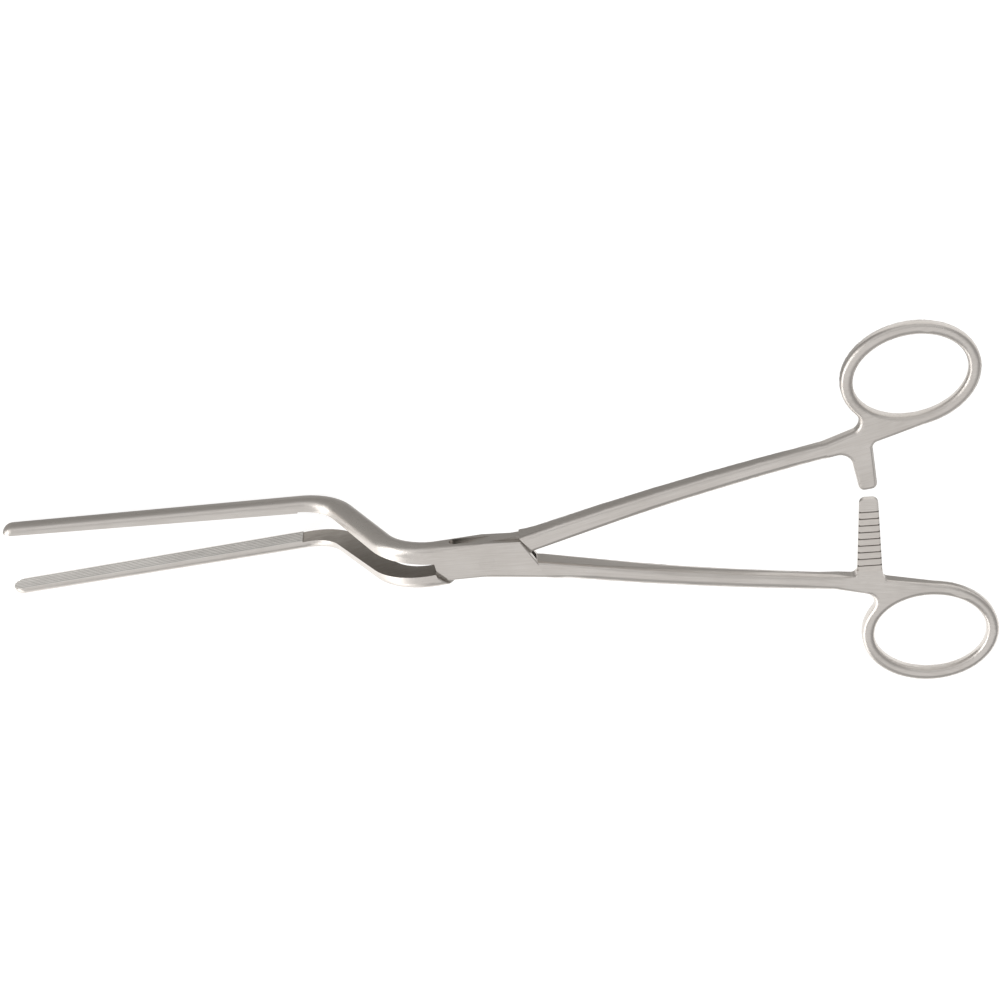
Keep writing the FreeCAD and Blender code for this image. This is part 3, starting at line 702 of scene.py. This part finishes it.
@dataclass
class Half:
    """One forged half: jaw, bend, neck, its part of the lock, handle, ring and ratchet arm.

    The first tooth is where the first painted shadow line of the ratchet lies across the
    instrument, and the shank's slant is the angle in degrees at which the handle leaves the jaw's line.
    """

    source: bpy.types.Object
    node_name: str
    title: str
    body: str
    side: Side
    first_tooth: float
    shank_slant: float = 7.65

    def build(self, edges: SoftEdges, finish: FaceFinish) -> bpy.types.Object:
        """Make the half that is shown.

        Args:
            edges: how far the handle's edges are broadened.
            finish: the node tree that picks each face's finish.

        Returns:
            The shown half, riding on its body.
        """
        mesh = self.source.data.copy()
        mesh.materials.clear()
        piece = bpy.data.objects.new(self.title, mesh)
        bpy.context.scene.collection.objects.link(piece)
        edges.apply(mesh, self.side)
        finish.apply(piece, self.side, self.steels())
        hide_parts(self.node_name)
        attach(piece, self.body)
        return piece

    def steels(self) -> dict[Finish, bpy.types.Material]:
        """Make the half's materials, with the brushing along its jaw and along its handle.

        Returns:
            The materials by finish.
        """
        closed = -math.degrees(OPEN_HALF) * self.side
        made = {}
        for finish, spec in FINISHES.items():
            turn = closed - self.shank_slant * self.side if finish is Finish.SHANK else closed
            made[finish] = spec.build(f"{finish.value}, {self.title}", turn, self.first_tooth, self.side)
        return made


@dataclass
class Forceps:
    """Both halves and the pin that joins them."""

    frame: dict

    def build(self) -> list[bpy.types.Object]:
        """Build the halves and dress the pin.

        Returns:
            The three pieces that are shown.
        """
        edges = SoftEdges()
        finish = FaceFinish()
        nodes = self.frame["nodes"]
        box = Half(nodes["female_half"], "female_half", "box_half", "female", Side.BOX,
                   first_tooth=6.85)
        tang = Half(nodes["male_half"], "male_half", "tang_half", "male", Side.TANG,
                    first_tooth=2.2)
        halves = [half.build(edges, finish) for half in (box, tang)]
        pin = nodes["lock_pin"]
        pin.data.materials.clear()
        pin.data.materials.append(FINISHES[Finish.JAW].build(
            "satin-brushed stainless steel, pin end", -math.degrees(OPEN_HALF)))
        return [*halves, pin]


@dataclass(frozen=True)
class Lamp:
    """One soft rectangular lamp, in metres and watts."""

    name: str
    place: Triple
    target: Triple
    size: tuple[float, float]
    power: float

    def hang(self) -> None:
        """Add the lamp to the scene, facing its target."""
        data = bpy.data.lights.new(self.name, "AREA")
        data.shape = "RECTANGLE"
        data.size, data.size_y = self.size
        data.energy = self.power
        lamp = bpy.data.objects.new(self.name, data)
        lamp.location = self.place
        way = Vector(self.target) - Vector(self.place)
        lamp.rotation_euler = way.to_track_quat("-Z", "Y").to_euler()
        bpy.context.scene.collection.objects.link(lamp)


LAMPS = (
    # The broad softbox lights the front faces evenly.
    Lamp("softbox", place=(0.0, -0.1, 1.0), target=(0, 0, 0.04), size=(1.8, 1.8), power=4.9),
    # The long card draws the light line along the upper edges.
    Lamp("rear card", place=(0.0, 1.1, 0.55), target=(0, 0, 0.04), size=(2.2, 0.75), power=2.3),
    # The two at the left bring out the slopes of the bends.
    Lamp("left side", place=(-0.9, 0.4, 0.35), target=(0, 0, 0.04), size=(0.7, 0.7), power=3.3),
    Lamp("low left", place=(-0.6, -0.26, 0.12), target=(-0.04, 0, 0.03), size=(1.1, 0.5), power=3.6),
)


@dataclass(frozen=True)
class Floor:
    """The pale floor: matt paper that the camera sees as white, with the shadow kept.

    Steel mirrors the paper as well. Below the forceps in the photograph the mirrored
    paper is bright and above them it is nearly black; here that is a painted reflection,
    as the paper glows towards glossy rays only, graded by place, so that the rounds of the
    handles get a painted light side and a painted dark side. The border follows the
    handles' spread, and the upper right corner glows bright again. A span is where a
    change begins and where it ends.
    """

    half_width: float = 4000.0
    drop: float = 0.2
    paper: str = "#A8A7A5"
    glow: str = "#FFFFFF"
    glow_strength: float = 0.8
    border: Span = (-8.0, 16.0)
    mirrored: Span = (1.25, 0.04)
    spread_along: Span = (50.0, 130.0)
    spread: float = 30.0
    corner_right: Span = (88.0, 112.0)
    corner_up: Span = (2.0, 20.0)

    def lay(self) -> None:
        """Add the floor to the scene, just below the surface that the jaws rest on."""
        half = self.half_width * MM
        mesh = bpy.data.meshes.new("floor")
        corners = [(-half, -half, 0), (half, -half, 0), (half, half, 0), (-half, half, 0)]
        mesh.from_pydata(corners, [], [(0, 1, 2, 3)])
        floor = bpy.data.objects.new("floor", mesh)
        floor.location.z = -self.drop * MM
        bpy.context.scene.collection.objects.link(floor)
        floor.data.materials.append(self.material())

    def material(self) -> bpy.types.Material:
        """Make the paper, which glows only towards the camera and, as a painted reflection, towards
        mirroring steel.

        Returns:
            The paper's material.
        """
        material = bpy.data.materials.new("pale matt paper")
        material.use_nodes = True
        tree = material.node_tree
        tree.nodes.clear()
        ray = node(tree, "ShaderNodeLightPath").outputs
        clear = node(tree, "ShaderNodeMath", {
            0: ray["Is Camera Ray"], 1: ray["Is Transmission Ray"]}, operation="MAXIMUM")
        # Painted reflection: towards glossy rays the paper glows by place, so one side of the steel's rounds
        # is painted light and the other dark.
        gloss = node(tree, "ShaderNodeMath", {
            0: ray["Is Glossy Ray"], 1: self.reflection(tree)}, operation="MULTIPLY")
        seen = node(tree, "ShaderNodeMath", {
            0: clear.outputs["Value"], 1: gloss.outputs["Value"]}, operation="MAXIMUM")
        strength = node(tree, "ShaderNodeMath", {
            0: seen.outputs["Value"], 1: self.glow_strength}, operation="MULTIPLY")
        paper = node(tree, "ShaderNodeBsdfDiffuse", {"Color": linear(self.paper)})
        white = node(tree, "ShaderNodeEmission", {
            "Color": linear(self.glow), "Strength": strength.outputs["Value"]})
        both = node(tree, "ShaderNodeAddShader", {0: paper.outputs["BSDF"], 1: white.outputs["Emission"]})
        node(tree, "ShaderNodeOutputMaterial", {"Surface": both.outputs["Shader"]})
        return material

    def reflection(self, tree: Tree) -> Socket:
        """Grade the painted reflection: how brightly the paper glows for steel that mirrors it.

        Args:
            tree: the paper's node tree.

        Returns:
            The output that multiplies the mirrored paper's white.
        """
        place = node(tree, "ShaderNodeTexCoord").outputs["Object"]
        spot = node(tree, "ShaderNodeSeparateXYZ", {0: place}).outputs
        shift = node(tree, "ShaderNodeMapRange", {
            "Value": spot["X"], "From Min": self.spread_along[0] * MM,
            "From Max": self.spread_along[1] * MM, "To Max": self.spread * MM})
        across = node(tree, "ShaderNodeMath", {0: spot["Y"], 1: shift.outputs["Result"]}, operation="ADD")
        below = node(tree, "ShaderNodeMapRange", {
            "Value": across.outputs["Value"],
            "From Min": self.border[0] * MM, "From Max": self.border[1] * MM,
            "To Min": self.mirrored[0], "To Max": self.mirrored[1]}, interpolation_type="SMOOTHSTEP")
        right, up = (
            node(tree, "ShaderNodeMapRange", {
                "Value": spot[axis], "From Min": start * MM, "From Max": stop * MM,
            }, interpolation_type="SMOOTHSTEP").outputs["Result"]
            for axis, (start, stop) in (("X", self.corner_right), ("Y", self.corner_up)))
        corner = node(tree, "ShaderNodeMath", {0: right, 1: up}, operation="MULTIPLY")
        return node(tree, "ShaderNodeMath", {
            0: below.outputs["Result"], 1: corner.outputs["Value"]}, operation="MAXIMUM").outputs["Value"]


@dataclass(frozen=True)
class Studio:
    """Camera at the photograph's angle, lamps, floor and world, with angles in radians."""

    camera_at: Triple = (46.2, 415.2, 860.4)
    tilt: float = math.radians(26)
    swing: float = -0.0146736
    roll: float = 0.130073
    lens: float = 109.28
    sensor: float = 36.0
    nearest: float = 10.0
    room: float = 0.45

    def build(self) -> None:
        """Set up the whole stage."""
        self.view()
        for lamp in LAMPS:
            lamp.hang()
        Floor().lay()
        self.world()

    def view(self) -> None:
        """Place the camera: three turns give its axes, as read from the photograph."""
        back = Vector((math.sin(self.swing) * math.cos(self.tilt), math.sin(self.tilt),
                       math.cos(self.swing) * math.cos(self.tilt)))
        right = Vector((0, 1, 0)).cross(back).normalized()
        up = back.cross(right)
        turn = Matrix.Rotation(-self.roll, 3, "Z")
        axes = Matrix((turn @ right, turn @ up, turn @ back)).transposed()
        data = bpy.data.cameras.new("camera")
        data.lens = self.lens
        data.sensor_width = self.sensor
        data.clip_start = self.nearest * MM
        camera = bpy.data.objects.new("camera", data)
        camera.matrix_world = Matrix.Translation(Vector(self.camera_at) * MM) @ axes.to_4x4()
        bpy.context.scene.collection.objects.link(camera)
        bpy.context.scene.camera = camera

    def world(self) -> None:
        """Fill the world: white to the camera, a dim room to everything else."""
        world = bpy.data.worlds.new("studio")
        bpy.context.scene.world = world
        world.use_nodes = True
        tree = world.node_tree
        tree.nodes.clear()
        ray = node(tree, "ShaderNodeLightPath").outputs
        clear = node(tree, "ShaderNodeMath", {
            0: ray["Is Camera Ray"], 1: ray["Is Transmission Ray"]}, operation="MAXIMUM")
        strength = node(tree, "ShaderNodeMapRange", {
            "Value": clear.outputs["Value"], "To Min": self.room, "To Max": 1.0})
        glow = node(tree, "ShaderNodeBackground", {
            "Color": linear("#FFFFFF"), "Strength": strength.outputs["Result"]})
        node(tree, "ShaderNodeOutputWorld", {"Surface": glow.outputs["Background"]})


def main() -> None:
    """Build the studio and the forceps and report each piece."""
    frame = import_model()
    bpy.context.scene.view_settings.view_transform = "Standard"
    Studio().build()
    for piece in Forceps(frame).build():
        log.info("%s: %d faces", piece.name, len(piece.data.polygons))


if __name__ == "__main__":
    main()
